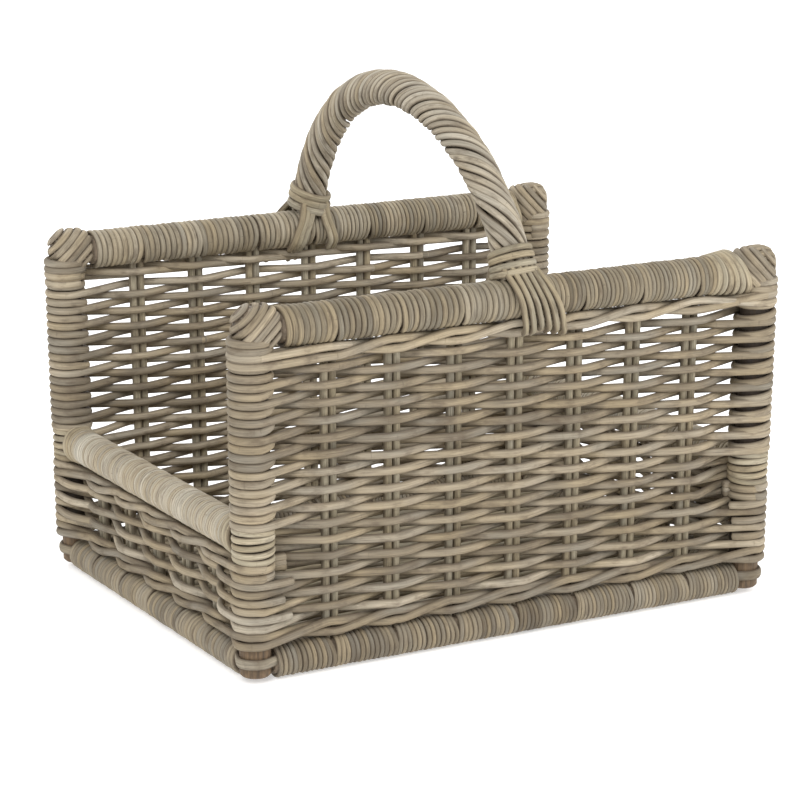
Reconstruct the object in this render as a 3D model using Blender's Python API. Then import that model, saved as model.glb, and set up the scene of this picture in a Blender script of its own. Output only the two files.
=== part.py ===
"""Wicker log basket: tall woven side walls, low woven ends and a fixed arched handle.

X runs along the length, Y across and Z up. The origin is on the ground, under the middle.
All sizes are in metres.
"""
import math

import bmesh
import bpy
from mathutils import Matrix, Vector
from mathutils.geometry import tessellate_polygon

# Clearance between pieces that touch
GAP = 0.0003
# Caps are triangulated in a turned frame, so that no two corners line up
CAP_TILT = 0.31

# Frame: post axes at the base rails, and how far each post leans out by the top rails
POST_SPAN_X = 0.480
POST_SPAN_Y = 0.359
FLARE = 0.0032
TOP_RISE = 0.2740
END_RISE = 0.1023

# Poles, and the sides that a pole and what is wrapped round it share
POLE_SIDES = 16
POST_SIDES = 20
POST_R = 0.0130
POST_FOOT_Z = 0.0045
TOP_CORE_R = 0.0110
END_CORE_R = 0.0100
BASE_CORE_R = 0.0095

# Wrapped cane round the poles
TOP_WRAP_R = 0.0168
END_WRAP_R = 0.0153
BASE_WRAP_R = 0.0146
WRAP_NOTCH = 0.0014
WRAP_NOTCH_HALF = 0.0050

# Weaving
STRAND = 0.0070
TURN_R = 0.0187
STAKE_R = 0.0035
STAKE_PITCH = 0.0074
STAKE_NECK = 0.0016
BAY_PITCH = 0.0574
SIDE_STAKES = 7
END_STAKES = 5
RIB_PITCH = 0.0146
RIB_DEPTH = 0.0012

# Corner knots over the top rail ends
KNOT_R = 0.0205
KNOT_IN = 0.0240
KNOT_OUT = 0.0130
CORE_OVERHANG = 0.0085

# Handle: a bent pole from rail to rail, wrapped, lashed down at both feet
HANDLE_RISE = 0.1485
HANDLE_SKEW = 0.0180
HANDLE_POWER = 1.15
HANDLE_CORE_R = 0.0090
HANDLE_WRAP_R = 0.0154
HANDLE_STEPS = 26
HANDLE_SIDES = 14
HANDLE_LIFT = 0.0022
COLLAR_LIFT = 0.0008
COLLAR_T = 0.0062
COLLAR_H = 0.0140
FAN_TOP_W = 0.0320
FAN_END_W = 0.0400
FAN_SHIFT = 0.0140
FAN_T = 0.0054
FAN_DROP = 0.0340

# Floor
FLOOR_T = 0.0130
FLOOR_BAR_R = 0.0045
FLOOR_BARS = 2

# Places that follow from the sizes above. The basket stands on its base rails, whose
# wrapping has a flat side underneath
HALF_SIDE = math.pi / POLE_SIDES
BASE_AXIS_Z = BASE_WRAP_R * math.cos(HALF_SIDE)
TOP_Z = BASE_AXIS_Z + TOP_RISE
END_Z = BASE_AXIS_Z + END_RISE
HALF_X = POST_SPAN_X / 2
HALF_Y = POST_SPAN_Y / 2
TOP_X = HALF_X + FLARE
TOP_Y = HALF_Y + FLARE
WALL_HALF_T = STAKE_R + STRAND
WEAVE_LOW = BASE_AXIS_Z + BASE_WRAP_R + GAP
SIDE_HIGH = TOP_Z - TOP_WRAP_R - GAP
END_HIGH = END_Z - END_WRAP_R - GAP
SIDES = {"near": -1, "far": 1}
ENDS = {"left": -1, "right": 1}

GREY = (0.42, 0.39, 0.32)
SAND = (0.47, 0.42, 0.31)
PALE = (0.50, 0.47, 0.39)
DARK = (0.30, 0.26, 0.20)
BARK = (0.33, 0.21, 0.13)


def material(name, colour, roughness):
    mat = bpy.data.materials.get(name)
    if mat is None:
        mat = bpy.data.materials.new(name)
        mat.use_nodes = True
        shader = mat.node_tree.nodes["Principled BSDF"]
        shader.inputs["Base Color"].default_value = (*colour, 1.0)
        shader.inputs["Roughness"].default_value = roughness
        shader.inputs["Metallic"].default_value = 0.0
        mat.diffuse_color = (*colour, 1.0)
    return mat


def lean(z):
    """Outward offset of a post axis at height z."""
    return FLARE * (z - BASE_AXIS_Z) / TOP_RISE


def flared(x, y, z):
    """A point of the upright basket, moved out with the leaning walls."""
    out = lean(z)
    return Vector((x * (1 + out / HALF_X), y * (1 + out / HALF_Y), z))


def circle(radius, segments, start=0.0):
    step = 2 * math.pi / segments
    return [(radius * math.cos(start + i * step), radius * math.sin(start + i * step))
            for i in range(segments)]


def finish(name, bm, colour, roughness=0.8, location=(0, 0, 0), turn=0.0, parent=None):
    """Turn a bmesh into a named, placed object with its own material."""
    bmesh.ops.recalc_face_normals(bm, faces=bm.faces)
    mesh = bpy.data.meshes.new(name)
    bm.to_mesh(mesh)
    bm.free()
    obj = bpy.data.objects.new(name, mesh)
    bpy.context.collection.objects.link(obj)
    obj.location = location
    obj.rotation_euler = (0.0, 0.0, turn)
    obj.parent = parent
    mesh.materials.append(material(name, colour, roughness))
    mesh.shade_smooth()
    mesh.set_sharp_from_angle(angle=math.radians(42))
    return obj


def bridge(bm, ring_a, ring_b):
    count = len(ring_a)
    for i in range(count):
        j = (i + 1) % count
        bm.faces.new((ring_a[i], ring_a[j], ring_b[j], ring_b[i]))


def add_ring(bm, centre, u, v, radius, segments):
    return [bm.verts.new(centre + u * x + v * y) for x, y in circle(radius, segments)]


def rod(stations, segments):
    """A solid rod through stations of (centre, u, v, radius)."""
    bm = bmesh.new()
    rings = [add_ring(bm, *station, segments) for station in stations]
    for ring_a, ring_b in zip(rings, rings[1:]):
        bridge(bm, ring_a, ring_b)
    bm.faces.new(rings[0])
    bm.faces.new(rings[-1])
    return bm


def sleeve(stations, inner, segments):
    """A tube through stations of (centre, u, v, outer radius) with one bore radius."""
    bm = bmesh.new()
    outer = [add_ring(bm, *station, segments) for station in stations]
    bore = [add_ring(bm, centre, u, v, inner, segments) for centre, u, v, _ in stations]
    for ring_a, ring_b in zip(outer, outer[1:]):
        bridge(bm, ring_a, ring_b)
    for ring_a, ring_b in zip(bore, bore[1:]):
        bridge(bm, ring_a, ring_b)
    bridge(bm, outer[0], bore[0])
    bridge(bm, outer[-1], bore[-1])
    return bm


def along_x(x, radius):
    """A ring across X, with a flat side down."""
    c = math.cos(HALF_SIDE)
    s = math.sin(HALF_SIDE)
    return (Vector((x, 0, 0)), Vector((0, c, s)), Vector((0, -s, c)), radius)


def straight_rod(half, radius):
    """A straight pole along X."""
    return rod([along_x(-half, radius), along_x(half, radius)], POLE_SIDES)


def straight_sleeve(half, outer, core, notches=()):
    """The wrapping of a pole along X, a little thinner where a stake pair comes in."""
    stations = [along_x(-half, outer)]
    for x in notches:
        stations.append(along_x(x - WRAP_NOTCH_HALF, outer))
        stations.append(along_x(x, outer - WRAP_NOTCH))
        stations.append(along_x(x + WRAP_NOTCH_HALF, outer))
    stations.append(along_x(half, outer))
    bm = bmesh.new()
    rings = [add_ring(bm, *station, POLE_SIDES) for station in stations]
    for ring_a, ring_b in zip(rings, rings[1:]):
        bridge(bm, ring_a, ring_b)
    bore = [add_ring(bm, *along_x(x, core + GAP), POLE_SIDES) for x in (-half, half)]
    bridge(bm, bore[0], bore[1])
    bridge(bm, rings[0], bore[0])
    bridge(bm, rings[-1], bore[1])
    return bm


def cut(obj, cutters, operation="DIFFERENCE"):
    """Apply exact Booleans to obj and remove their cutters."""
    for cutter in cutters:
        modifier = obj.modifiers.new("cut", "BOOLEAN")
        modifier.operation = operation
        modifier.solver = "EXACT"
        modifier.object = cutter
    bpy.context.view_layer.update()
    graph = bpy.context.evaluated_depsgraph_get()
    result = bpy.data.meshes.new_from_object(obj.evaluated_get(graph))
    old = obj.data
    obj.modifiers.clear()
    obj.data = result
    bpy.data.meshes.remove(old)
    for cutter in cutters:
        bpy.data.objects.remove(cutter)
    result.shade_smooth()
    result.set_sharp_from_angle(angle=math.radians(42))
    return obj


def offset_loop(loop, distance):
    """Move a closed counter-clockwise loop in by distance."""
    result = []
    count = len(loop)
    for i in range(count):
        before = Vector(loop[i - 1])
        here = Vector(loop[i])
        after = Vector(loop[(i + 1) % count])
        d1 = (here - before).normalized()
        d2 = (after - here).normalized()
        n1 = Vector((-d1.y, d1.x))
        n2 = Vector((-d2.y, d2.x))
        mitre = (n1 + n2).normalized()
        result.append(tuple(here + mitre * distance / max(0.3, mitre.dot(n1))))
    return result


def woven_body(outline, holes, low, high, place):
    """A ribbed slab of weaving, extruded from low to high, with channels for the canes."""
    bm = bmesh.new()
    ribs = max(1, round((high - low) / RIB_PITCH))
    grooved = offset_loop(outline, RIB_DEPTH)
    rings = []
    for i in range(2 * ribs + 1):
        z = low + (high - low) * i / (2 * ribs)
        loop = outline if i % 2 else grooved
        rings.append([bm.verts.new(place(x, y, z)) for x, y in loop])
    for ring_a, ring_b in zip(rings, rings[1:]):
        bridge(bm, ring_a, ring_b)
    channels = []
    for hole in holes:
        ends = [[bm.verts.new(place(x, y, z)) for x, y in hole] for z in (low, high)]
        bridge(bm, ends[0], ends[1])
        channels.append(ends)
    tilt = Matrix.Rotation(CAP_TILT, 2)
    flat = [[(tilt @ Vector(point)).to_3d() for point in loop] for loop in [grooved, *holes]]
    for end in (0, 1):
        verts = list(rings[-end]) + [v for ends in channels for v in ends[end]]
        for triangle in tessellate_polygon(flat):
            bm.faces.new([verts[i] for i in triangle])
    return bm


def stake_outline(centre, along, clearance=0.0):
    """Outline of a pair of canes side by side, joined by a narrow neck."""
    radius = STAKE_R + clearance
    neck = math.asin((STAKE_NECK + clearance) / radius)
    steps = 6
    points = []
    for side in (1, -1):
        for i in range(steps + 1):
            a = -math.pi + neck + (2 * math.pi - 2 * neck) * i / steps
            points.append((side * (STAKE_PITCH / 2 + radius * math.cos(a)),
                           side * radius * math.sin(a)))
    if along == "x":
        return [(centre[0] + x, centre[1] + y) for x, y in points]
    return [(centre[0] - y, centre[1] + x) for x, y in points]


def stake_places(count):
    return [BAY_PITCH * (i - (count - 1) / 2) for i in range(count)]


def make_posts(root):
    for side, sy in SIDES.items():
        for end, sx in ENDS.items():
            top = TOP_Z - TOP_CORE_R - GAP
            chamfer = 0.0020
            stations = []
            foot = POST_FOOT_Z
            for z, radius in ((foot, POST_R - chamfer), (foot + chamfer, POST_R), (top, POST_R)):
                centre = Vector((sx * lean(z), sy * lean(z), z))
                stations.append((centre, Vector((1, 0, 0)), Vector((0, 1, 0)), radius))
            finish(f"post_{side}_{end}", rod(stations, POST_SIDES), BARK, 0.75,
                   (sx * HALF_X, sy * HALF_Y, 0), 0, root)


def make_rails(root):
    """Pole cores and the cane wrapped round them."""
    side_x = stake_places(SIDE_STAKES)
    end_y = stake_places(END_STAKES)
    corner = max(BASE_WRAP_R, POST_R) + GAP
    for side, sy in SIDES.items():
        place = (0, sy * TOP_Y, TOP_Z)
        half = TOP_X + CORE_OVERHANG
        finish(f"top_core_{side}", straight_rod(half, TOP_CORE_R), DARK, 0.7, place, 0, root)
        half = TOP_X - KNOT_IN - GAP
        notches = [x * (1 + lean(TOP_Z) / HALF_X) for x in side_x]
        wrap = finish(f"top_wrap_{side}", straight_sleeve(half, TOP_WRAP_R, TOP_CORE_R, notches),
                      GREY, 0.8, place, 0, root)
        cut(wrap, [foot_cutter()])
        place = (0, sy * HALF_Y, BASE_AXIS_Z)
        half = HALF_X - POST_R - GAP
        finish(f"base_core_{side}", straight_rod(half, BASE_CORE_R), DARK, 0.7, place, 0, root)
        half = HALF_X - corner
        finish(f"base_wrap_{side}", straight_sleeve(half, BASE_WRAP_R, BASE_CORE_R, side_x),
               GREY, 0.8, place, 0, root)
    quarter = math.pi / 2
    for end, sx in ENDS.items():
        place = (sx * HALF_X, 0, BASE_AXIS_Z)
        half = HALF_Y - POST_R - GAP
        finish(f"base_core_{end}", straight_rod(half, BASE_CORE_R), DARK, 0.7, place, quarter, root)
        half = HALF_Y - corner
        finish(f"base_wrap_{end}", straight_sleeve(half, BASE_WRAP_R, BASE_CORE_R, end_y),
               SAND, 0.8, place, quarter, root)
        place = (sx * (HALF_X + lean(END_Z)), 0, END_Z)
        half = HALF_Y + lean(END_Z) - POST_R - GAP
        finish(f"end_core_{end}", straight_rod(half, END_CORE_R), DARK, 0.7, place, quarter, root)
        half = HALF_Y + lean(END_Z) - TURN_R - 2 * GAP
        finish(f"end_wrap_{end}", straight_sleeve(half, END_WRAP_R, END_CORE_R),
               PALE, 0.8, place, quarter, root)


def make_stakes(root):
    """Pairs of upright canes that the weavers pass round."""
    low = WEAVE_LOW
    for side, sy in SIDES.items():
        for i, x in enumerate(stake_places(SIDE_STAKES), 1):
            make_stake(f"stake_{side}_{i}", (x, sy * HALF_Y), "x", low, SIDE_HIGH, root)
    for end, sx in ENDS.items():
        for i, y in enumerate(stake_places(END_STAKES), 1):
            make_stake(f"stake_{end}_{i}", (sx * HALF_X, y), "y", low, END_HIGH, root)


def make_stake(name, centre, along, low, high, root):
    bm = bmesh.new()
    origin = flared(*centre, low)
    loop = stake_outline(centre, along)
    rings = [[bm.verts.new(flared(x, y, z) - origin) for x, y in loop] for z in (low, high)]
    bridge(bm, rings[0], rings[1])
    bm.faces.new(rings[0])
    bm.faces.new(rings[1])
    finish(name, bm, SAND, 0.8, origin, 0, root)


def side_outline():
    """Section of a side wall: a slab that swells round the post at each end."""
    half_angle = math.asin(WALL_HALF_T / TURN_R)
    steps = 10
    loop = []
    for sx in (1, -1):
        for i in range(steps + 1):
            a = -math.pi + half_angle + (2 * math.pi - 2 * half_angle) * i / steps
            loop.append((sx * (HALF_X + TURN_R * math.cos(a)), sx * TURN_R * math.sin(a)))
    return loop


def end_outline():
    """Section of an end wall: a slab whose ends curve round the turned corners."""
    reach = TURN_R + GAP
    half_angle = math.asin(WALL_HALF_T / reach)
    steps = 4
    loop = []
    for sy in (1, -1):
        for i in range(steps + 1):
            a = -math.pi / 2 + half_angle - 2 * half_angle * i / steps
            x = reach * math.cos(a)
            y = HALF_Y + reach * math.sin(a)
            loop.append((sy * x, sy * y))
    return loop


def make_weaving(root):
    for side, sy in SIDES.items():
        outline = [(x, y + sy * HALF_Y) for x, y in side_outline()]
        holes = [stake_outline((x, sy * HALF_Y), "x", GAP) for x in stake_places(SIDE_STAKES)]
        for sx in (-1, 1):
            holes.append([(x + sx * HALF_X, y + sy * HALF_Y)
                          for x, y in circle(POST_R + 2 * GAP, POST_SIDES)])
        bm = woven_body(outline, holes, WEAVE_LOW, SIDE_HIGH, flared)
        wall = finish(f"weave_{side}", bm, PALE, 0.85, (0, 0, 0), 0, root)
        cutters = []
        for sx in (-1, 1):
            axis_x = sx * (HALF_X + lean(END_Z))
            axis_y = sy * (HALF_Y + lean(END_Z))
            far = axis_y - sy * 2 * TURN_R
            place = (axis_x, (axis_y + far) / 2, END_Z)
            core = straight_rod(abs(axis_y - far) / 2, END_CORE_R + GAP)
            cutters.append(finish("core_cutter", core, DARK, 0.8, place, math.pi / 2))
        cut(wall, cutters)
    for end, sx in ENDS.items():
        outline = [(x + sx * HALF_X, y) for x, y in end_outline()]
        holes = [stake_outline((sx * HALF_X, y), "y", GAP) for y in stake_places(END_STAKES)]
        bm = woven_body(outline, holes, WEAVE_LOW, END_HIGH, flared)
        finish(f"weave_{end}", bm, SAND, 0.85, (0, 0, 0), 0, root)


def make_floor(root):
    """A woven floor between the base rails, with bars through it from rail to rail."""
    half_x = HALF_X - BASE_WRAP_R - GAP
    half_y = HALF_Y - BASE_WRAP_R - GAP
    pitch = 2 * half_x / (FLOOR_BARS + 1)
    bars = [pitch * (i + 1) - half_x for i in range(FLOOR_BARS)]
    half_t = FLOOR_T / 2
    edge = half_x - RIB_DEPTH
    outline = [(-edge, -half_t), (edge, -half_t), (edge, half_t), (-edge, half_t)]
    holes = [[(x + cx, y) for cx, y in circle(FLOOR_BAR_R + GAP, 12)] for x in bars]
    bm = woven_body(outline, holes, -half_y, half_y,
                    lambda x, y, z: Vector((x, z, y + BASE_AXIS_Z)))
    finish("floor_weave", bm, SAND, 0.85, (0, 0, 0), 0, root)
    for i, x in enumerate(bars, 1):
        stations = [along_x(-half_y, FLOOR_BAR_R), along_x(half_y, FLOOR_BAR_R)]
        finish(f"floor_bar_{i}", rod(stations, 12), DARK, 0.75,
               (x, 0, BASE_AXIS_Z), math.pi / 2, root)


def make_knots(root):
    """Cane wound over the end of each top rail and the head of its post."""
    for side, sy in SIDES.items():
        for end, sx in ENDS.items():
            place = (sx * TOP_X, sy * TOP_Y, TOP_Z)
            profile = ((-KNOT_IN, KNOT_R - 0.0030), (-KNOT_IN + 0.0060, KNOT_R),
                       (KNOT_OUT - 0.0080, KNOT_R), (KNOT_OUT - 0.0020, KNOT_R - 0.0030),
                       (KNOT_OUT, KNOT_R - 0.0070))
            stations = [along_x(sx * x, radius) for x, radius in profile]
            name = f"knot_{side}_{end}"
            knot = finish(name, rod(stations, 18), GREY, 0.8, place, 0, root)
            bore = TOP_CORE_R + GAP
            ends = (-KNOT_IN - 0.01, CORE_OVERHANG + GAP)
            core = [along_x(sx * x, bore) for x in ends]
            head = []
            for z in (-2 * KNOT_R, -TOP_CORE_R / 2):
                out = lean(TOP_Z + z) - FLARE
                centre = Vector((sx * out, sy * out, z))
                head.append((centre, Vector((1, 0, 0)), Vector((0, 1, 0)), POST_R + 2 * GAP))
            size = 3 * KNOT_R
            low = bmesh.new()
            bmesh.ops.create_cube(low, size=1.0)
            for vert in low.verts:
                vert.co = Vector((vert.co.x * 2 * size, vert.co.y * size,
                                  vert.co.z * size - TOP_WRAP_R - size / 2))
            cutters = [finish("knot_cutter", bm, DARK, 0.8, place)
                       for bm in (rod(core, POLE_SIDES), rod(head, POST_SIDES), low)]
            cut(knot, cutters)


def handle_point(theta):
    s = math.sin(theta)
    return Vector((0.0, HANDLE_SKEW * s * s - TOP_Y * math.cos(theta),
                   TOP_Z + HANDLE_RISE * s ** HANDLE_POWER))


def handle_angle(height):
    """Angle at which the arch is this far above the rail axis."""
    return math.asin((height / HANDLE_RISE) ** (1 / HANDLE_POWER))


def arch_angles():
    """Angles of the rings along the arch, shared by the pole, its wrap and the collars."""
    wrap = TOP_WRAP_R + GAP + HANDLE_LIFT
    heights = (TOP_CORE_R + GAP, wrap, wrap + COLLAR_LIFT, wrap + COLLAR_LIFT + COLLAR_H)
    feet = [handle_angle(height) for height in heights]
    step = math.pi / HANDLE_STEPS
    middle = [i * step for i in range(HANDLE_STEPS + 1)
              if feet[-1] + step / 2 < i * step < math.pi - feet[-1] - step / 2]
    return feet + middle + [math.pi - angle for angle in reversed(feet)]


def arch_stations(radius, first, last=None):
    """Rings along the arch from angle number first to number last, counted from 0."""
    angles = arch_angles()
    count = len(angles)
    last = count - 1 - first if last is None else last
    stations = []
    for i in range(first, last + 1):
        delta = 0.001
        ahead = handle_point(angles[i] + delta) - handle_point(angles[i] - delta)
        if min(i, count - 1 - i) < 2:
            ahead = Vector((0, 0, ahead.z))
        u = Vector((1, 0, 0))
        v = ahead.normalized().cross(u)
        stations.append((handle_point(angles[i]), u, v, radius))
    return stations


def foot_cutter():
    """The handle's pole with its clearance, carried on down into the bores of the top wraps."""
    stations = arch_stations(HANDLE_CORE_R + GAP, 0)
    ends = []
    for centre, u, v, radius in (stations[0], stations[-1]):
        ends.append((centre - Vector((0, 0, TOP_CORE_R / 4)), u, v, radius))
    return finish("foot_cutter", rod([ends[0], *stations, ends[1]], HANDLE_SIDES), DARK)


def make_handle(root):
    pole = rod(arch_stations(HANDLE_CORE_R, 0), HANDLE_SIDES)
    finish("handle_core", pole, DARK, 0.7, (0, 0, 0), 0, root)
    count = len(arch_angles())
    crown = count // 2
    for side, sy in SIDES.items():
        first, last = (1, crown) if sy < 0 else (crown, count - 2)
        stations = arch_stations(HANDLE_WRAP_R, first, last)
        top = 0 if sy > 0 else -1
        centre, u, v, radius = stations[top]
        stations[top] = (centre + sy * u.cross(v) * GAP / 2, u, v, radius)
        wrap = sleeve(stations, HANDLE_CORE_R + GAP, HANDLE_SIDES)
        finish(f"handle_wrap_{side}", wrap, PALE, 0.8, (0, 0, 0), 0, root)
        first = 2 if sy < 0 else count - 4
        stations = arch_stations(HANDLE_WRAP_R + COLLAR_T, first, first + 1)
        collar = finish(f"lashing_{side}", sleeve(stations, HANDLE_WRAP_R + GAP, HANDLE_SIDES),
                        SAND, 0.8, (0, 0, 0), 0, root)
        fan = finish("fan", fan_plate(sy), SAND)
        cut(collar, [fan], "UNION")


def fan_plate(sy):
    """Strands fanned down from the collar over the outside of the top rail."""
    clear = TOP_WRAP_R + GAP + FAN_T / 2
    rows = ((HANDLE_WRAP_R, TOP_WRAP_R + 0.0110), (clear + 0.0006, TOP_WRAP_R + 0.0010),
            (clear + 0.0010, TOP_WRAP_R / 2), (clear + 0.0010, -TOP_WRAP_R / 3),
            (clear - 0.0010, -FAN_DROP * 0.6), (WALL_HALF_T + FAN_T * 0.75, -FAN_DROP))
    bm = bmesh.new()
    rings = []
    for i, (y, z) in enumerate(rows):
        before = rows[max(0, i - 1)]
        after = rows[min(len(rows) - 1, i + 1)]
        run = Vector((after[0] - before[0], after[1] - before[1])).normalized()
        side = Vector((-run.y, run.x)) * FAN_T / 2
        t = (rows[0][1] - z) / (rows[0][1] - rows[-1][1])
        half = (FAN_TOP_W + (FAN_END_W - FAN_TOP_W) * t) / 2
        shift = FAN_SHIFT * t
        ring = []
        for sx, st in ((-1, -1), (1, -1), (1, 1), (-1, 1)):
            point = Vector((-sy * (sx * half + shift), sy * (y + st * side.x), z + st * side.y))
            ring.append(bm.verts.new(point + Vector((0, sy * TOP_Y, TOP_Z))))
        rings.append(ring)
    for ring_a, ring_b in zip(rings, rings[1:]):
        bridge(bm, ring_a, ring_b)
    bm.faces.new(rings[0])
    bm.faces.new(rings[-1])
    return bm


def build():
    for obj in list(bpy.data.objects):
        bpy.data.objects.remove(obj)
    root = bpy.data.objects.new("basket", None)
    bpy.context.collection.objects.link(root)
    make_posts(root)
    make_rails(root)
    make_stakes(root)
    make_weaving(root)
    make_floor(root)
    make_knots(root)
    make_handle(root)


build()
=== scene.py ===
"""Looks of the wicker log basket: every cane of the weaving, wraps, knots and handle.

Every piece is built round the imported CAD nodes, in their frame, in metres.
"""
import math
import random

import bpy
import numpy as np
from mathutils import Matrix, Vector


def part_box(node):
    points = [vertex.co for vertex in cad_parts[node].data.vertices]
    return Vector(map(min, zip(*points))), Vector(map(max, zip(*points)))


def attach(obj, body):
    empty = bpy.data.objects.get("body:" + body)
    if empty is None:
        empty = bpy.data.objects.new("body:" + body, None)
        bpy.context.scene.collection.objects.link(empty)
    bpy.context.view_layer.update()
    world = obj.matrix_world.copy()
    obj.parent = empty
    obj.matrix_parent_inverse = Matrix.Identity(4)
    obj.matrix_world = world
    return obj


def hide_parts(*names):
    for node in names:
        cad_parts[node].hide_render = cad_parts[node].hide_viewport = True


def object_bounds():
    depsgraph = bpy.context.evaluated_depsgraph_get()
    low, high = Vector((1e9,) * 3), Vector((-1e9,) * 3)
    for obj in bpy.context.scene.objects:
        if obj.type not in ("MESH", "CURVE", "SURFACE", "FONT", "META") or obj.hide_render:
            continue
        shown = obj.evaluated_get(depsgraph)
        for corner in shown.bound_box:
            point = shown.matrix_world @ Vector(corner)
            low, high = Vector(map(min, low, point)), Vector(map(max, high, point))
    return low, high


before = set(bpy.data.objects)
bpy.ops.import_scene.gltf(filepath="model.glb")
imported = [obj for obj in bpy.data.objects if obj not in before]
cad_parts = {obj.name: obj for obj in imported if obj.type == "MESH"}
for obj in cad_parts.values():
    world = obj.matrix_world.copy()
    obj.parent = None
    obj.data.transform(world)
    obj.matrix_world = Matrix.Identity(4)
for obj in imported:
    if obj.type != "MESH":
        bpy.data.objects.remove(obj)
CAD_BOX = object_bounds()

SEED = 11
RNG = random.Random(SEED)

# Camera, as the photograph was taken
CAMERA_PLACE = (-1.2003, -2.1110, 0.7689)
CAMERA_PITCH_DEG = 14.008
CAMERA_HEADING_DEG = 29.514
CAMERA_LENS_MM = 127.68


def span(node):
    """Lowest and highest corner of a CAD node as arrays."""
    low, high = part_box(node)
    return np.array(low), np.array(high)


def middle(node):
    low, high = span(node)
    return (low + high) / 2


def half_size(node):
    low, high = span(node)
    return (high - low) / 2


# Measures that the CAD sets
HALF_X = middle("base_wrap_right")[0]
HALF_Y = middle("base_wrap_far")[1]
BASE_Z = middle("base_wrap_near")[2]
TOP_Z = middle("top_wrap_near")[2]
END_Z = middle("end_wrap_left")[2]
FLARE = middle("top_wrap_far")[1] - HALF_Y
BASE_R = half_size("base_wrap_near")[2]
TOP_R = half_size("top_wrap_near")[2]
END_R = half_size("end_wrap_left")[2]
POST_R = (half_size("post_near_left")[0] * 2 - FLARE) / 2
WEAVE_LOW = span("weave_near")[0][2]
SIDE_HIGH = span("weave_near")[1][2]
END_HIGH = span("weave_left")[1][2]
SIDE_STAKES = [middle(f"stake_near_{i}")[0] for i in range(1, 8)]
END_STAKES = [middle(f"stake_left_{i}")[1] for i in range(1, 6)]

# Which way each long side and each end faces
SIDES = {"near": -1, "far": 1}
ENDS = {"left": -1, "right": 1}

# Cane sizes
CURVE_STEP = 0.0042
CANE_R = 0.00355
STAKE_R = 0.0035
STAKE_GAP = 0.0037
ROW_PITCH = 0.00725


def lean(z):
    return FLARE * (z - BASE_Z) / (TOP_Z - BASE_Z)


def flared(point):
    """Moves a point of the upright plan out with the leaning walls."""
    x, y, z = point
    out = lean(z)
    return np.array([x * (1 + out / HALF_X), y * (1 + out / HALF_Y), z])


def unit(v):
    """v at length one, or every row of it where v is a table."""
    return v / np.maximum(np.linalg.norm(v, axis=-1, keepdims=True), 1e-12)


def full_turn(count):
    """Angles of count places evenly round a circle."""
    return np.arange(count) * 2 * math.pi / count


# ---------------------------------------------------------------- materials


class Nodes:
    """A short way to build a material's node tree."""

    def __init__(self, name):
        self.material = bpy.data.materials.new(name)
        self.material.use_nodes = True
        self.tree = self.material.node_tree
        self.shader = self.tree.nodes["Principled BSDF"]

    def add(self, kind, **settings):
        node = self.tree.nodes.new(kind)
        for key, value in settings.items():
            setattr(node, key, value)
        return node

    def link(self, output, target):
        self.tree.links.new(output, target)

    def put(self, value, target):
        if isinstance(value, bpy.types.NodeSocket):
            self.link(value, target)
        else:
            target.default_value = value

    def attribute(self, name, output):
        return self.add("ShaderNodeAttribute", attribute_name=name).outputs[output]

    def math(self, operation, a, b):
        node = self.add("ShaderNodeMath", operation=operation)
        self.put(a, node.inputs[0])
        self.put(b, node.inputs[1])
        return node.outputs[0]

    def noise(self, coordinates, detail, roughness):
        node = self.add("ShaderNodeTexNoise")
        self.link(coordinates, node.inputs["Vector"])
        node.inputs["Scale"].default_value = 1.0
        node.inputs["Detail"].default_value = detail
        node.inputs["Roughness"].default_value = roughness
        return node.outputs["Fac"]

    def stretched(self, coordinates, scale):
        node = self.add("ShaderNodeVectorMath", operation="MULTIPLY")
        self.link(coordinates, node.inputs[0])
        node.inputs[1].default_value = scale
        return node.outputs[0]

    def ramp(self, factor, stops):
        node = self.add("ShaderNodeValToRGB")
        ramp = node.color_ramp
        while len(ramp.elements) < len(stops):
            ramp.elements.new(0.5)
        for element, (place, colour) in zip(ramp.elements, stops):
            element.position = place
            element.color = (*colour, 1.0)
        self.link(factor, node.inputs["Fac"])
        return node.outputs["Color"]

    def mix(self, factor, a, b, blend="MIX"):
        node = self.add("ShaderNodeMix", data_type="RGBA", blend_type=blend)
        self.put(factor, node.inputs["Factor"])
        colour_a, colour_b = (socket for socket in node.inputs if socket.type == "RGBA")
        self.put(a, colour_a)
        self.put(b, colour_b)
        return next(socket for socket in node.outputs if socket.type == "RGBA")

    def bump(self, height, strength, distance):
        node = self.add("ShaderNodeBump")
        node.inputs["Strength"].default_value = strength
        node.inputs["Distance"].default_value = distance
        self.link(height, node.inputs["Height"])
        self.link(node.outputs["Normal"], self.shader.inputs["Normal"])

    def spread(self, value, low, high, to_low, to_high):
        node = self.add("ShaderNodeMapRange")
        self.link(value, node.inputs["Value"])
        node.inputs["From Min"].default_value = low
        node.inputs["From Max"].default_value = high
        node.inputs["To Min"].default_value = to_low
        node.inputs["To Max"].default_value = to_high
        return node.outputs["Result"]


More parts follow.
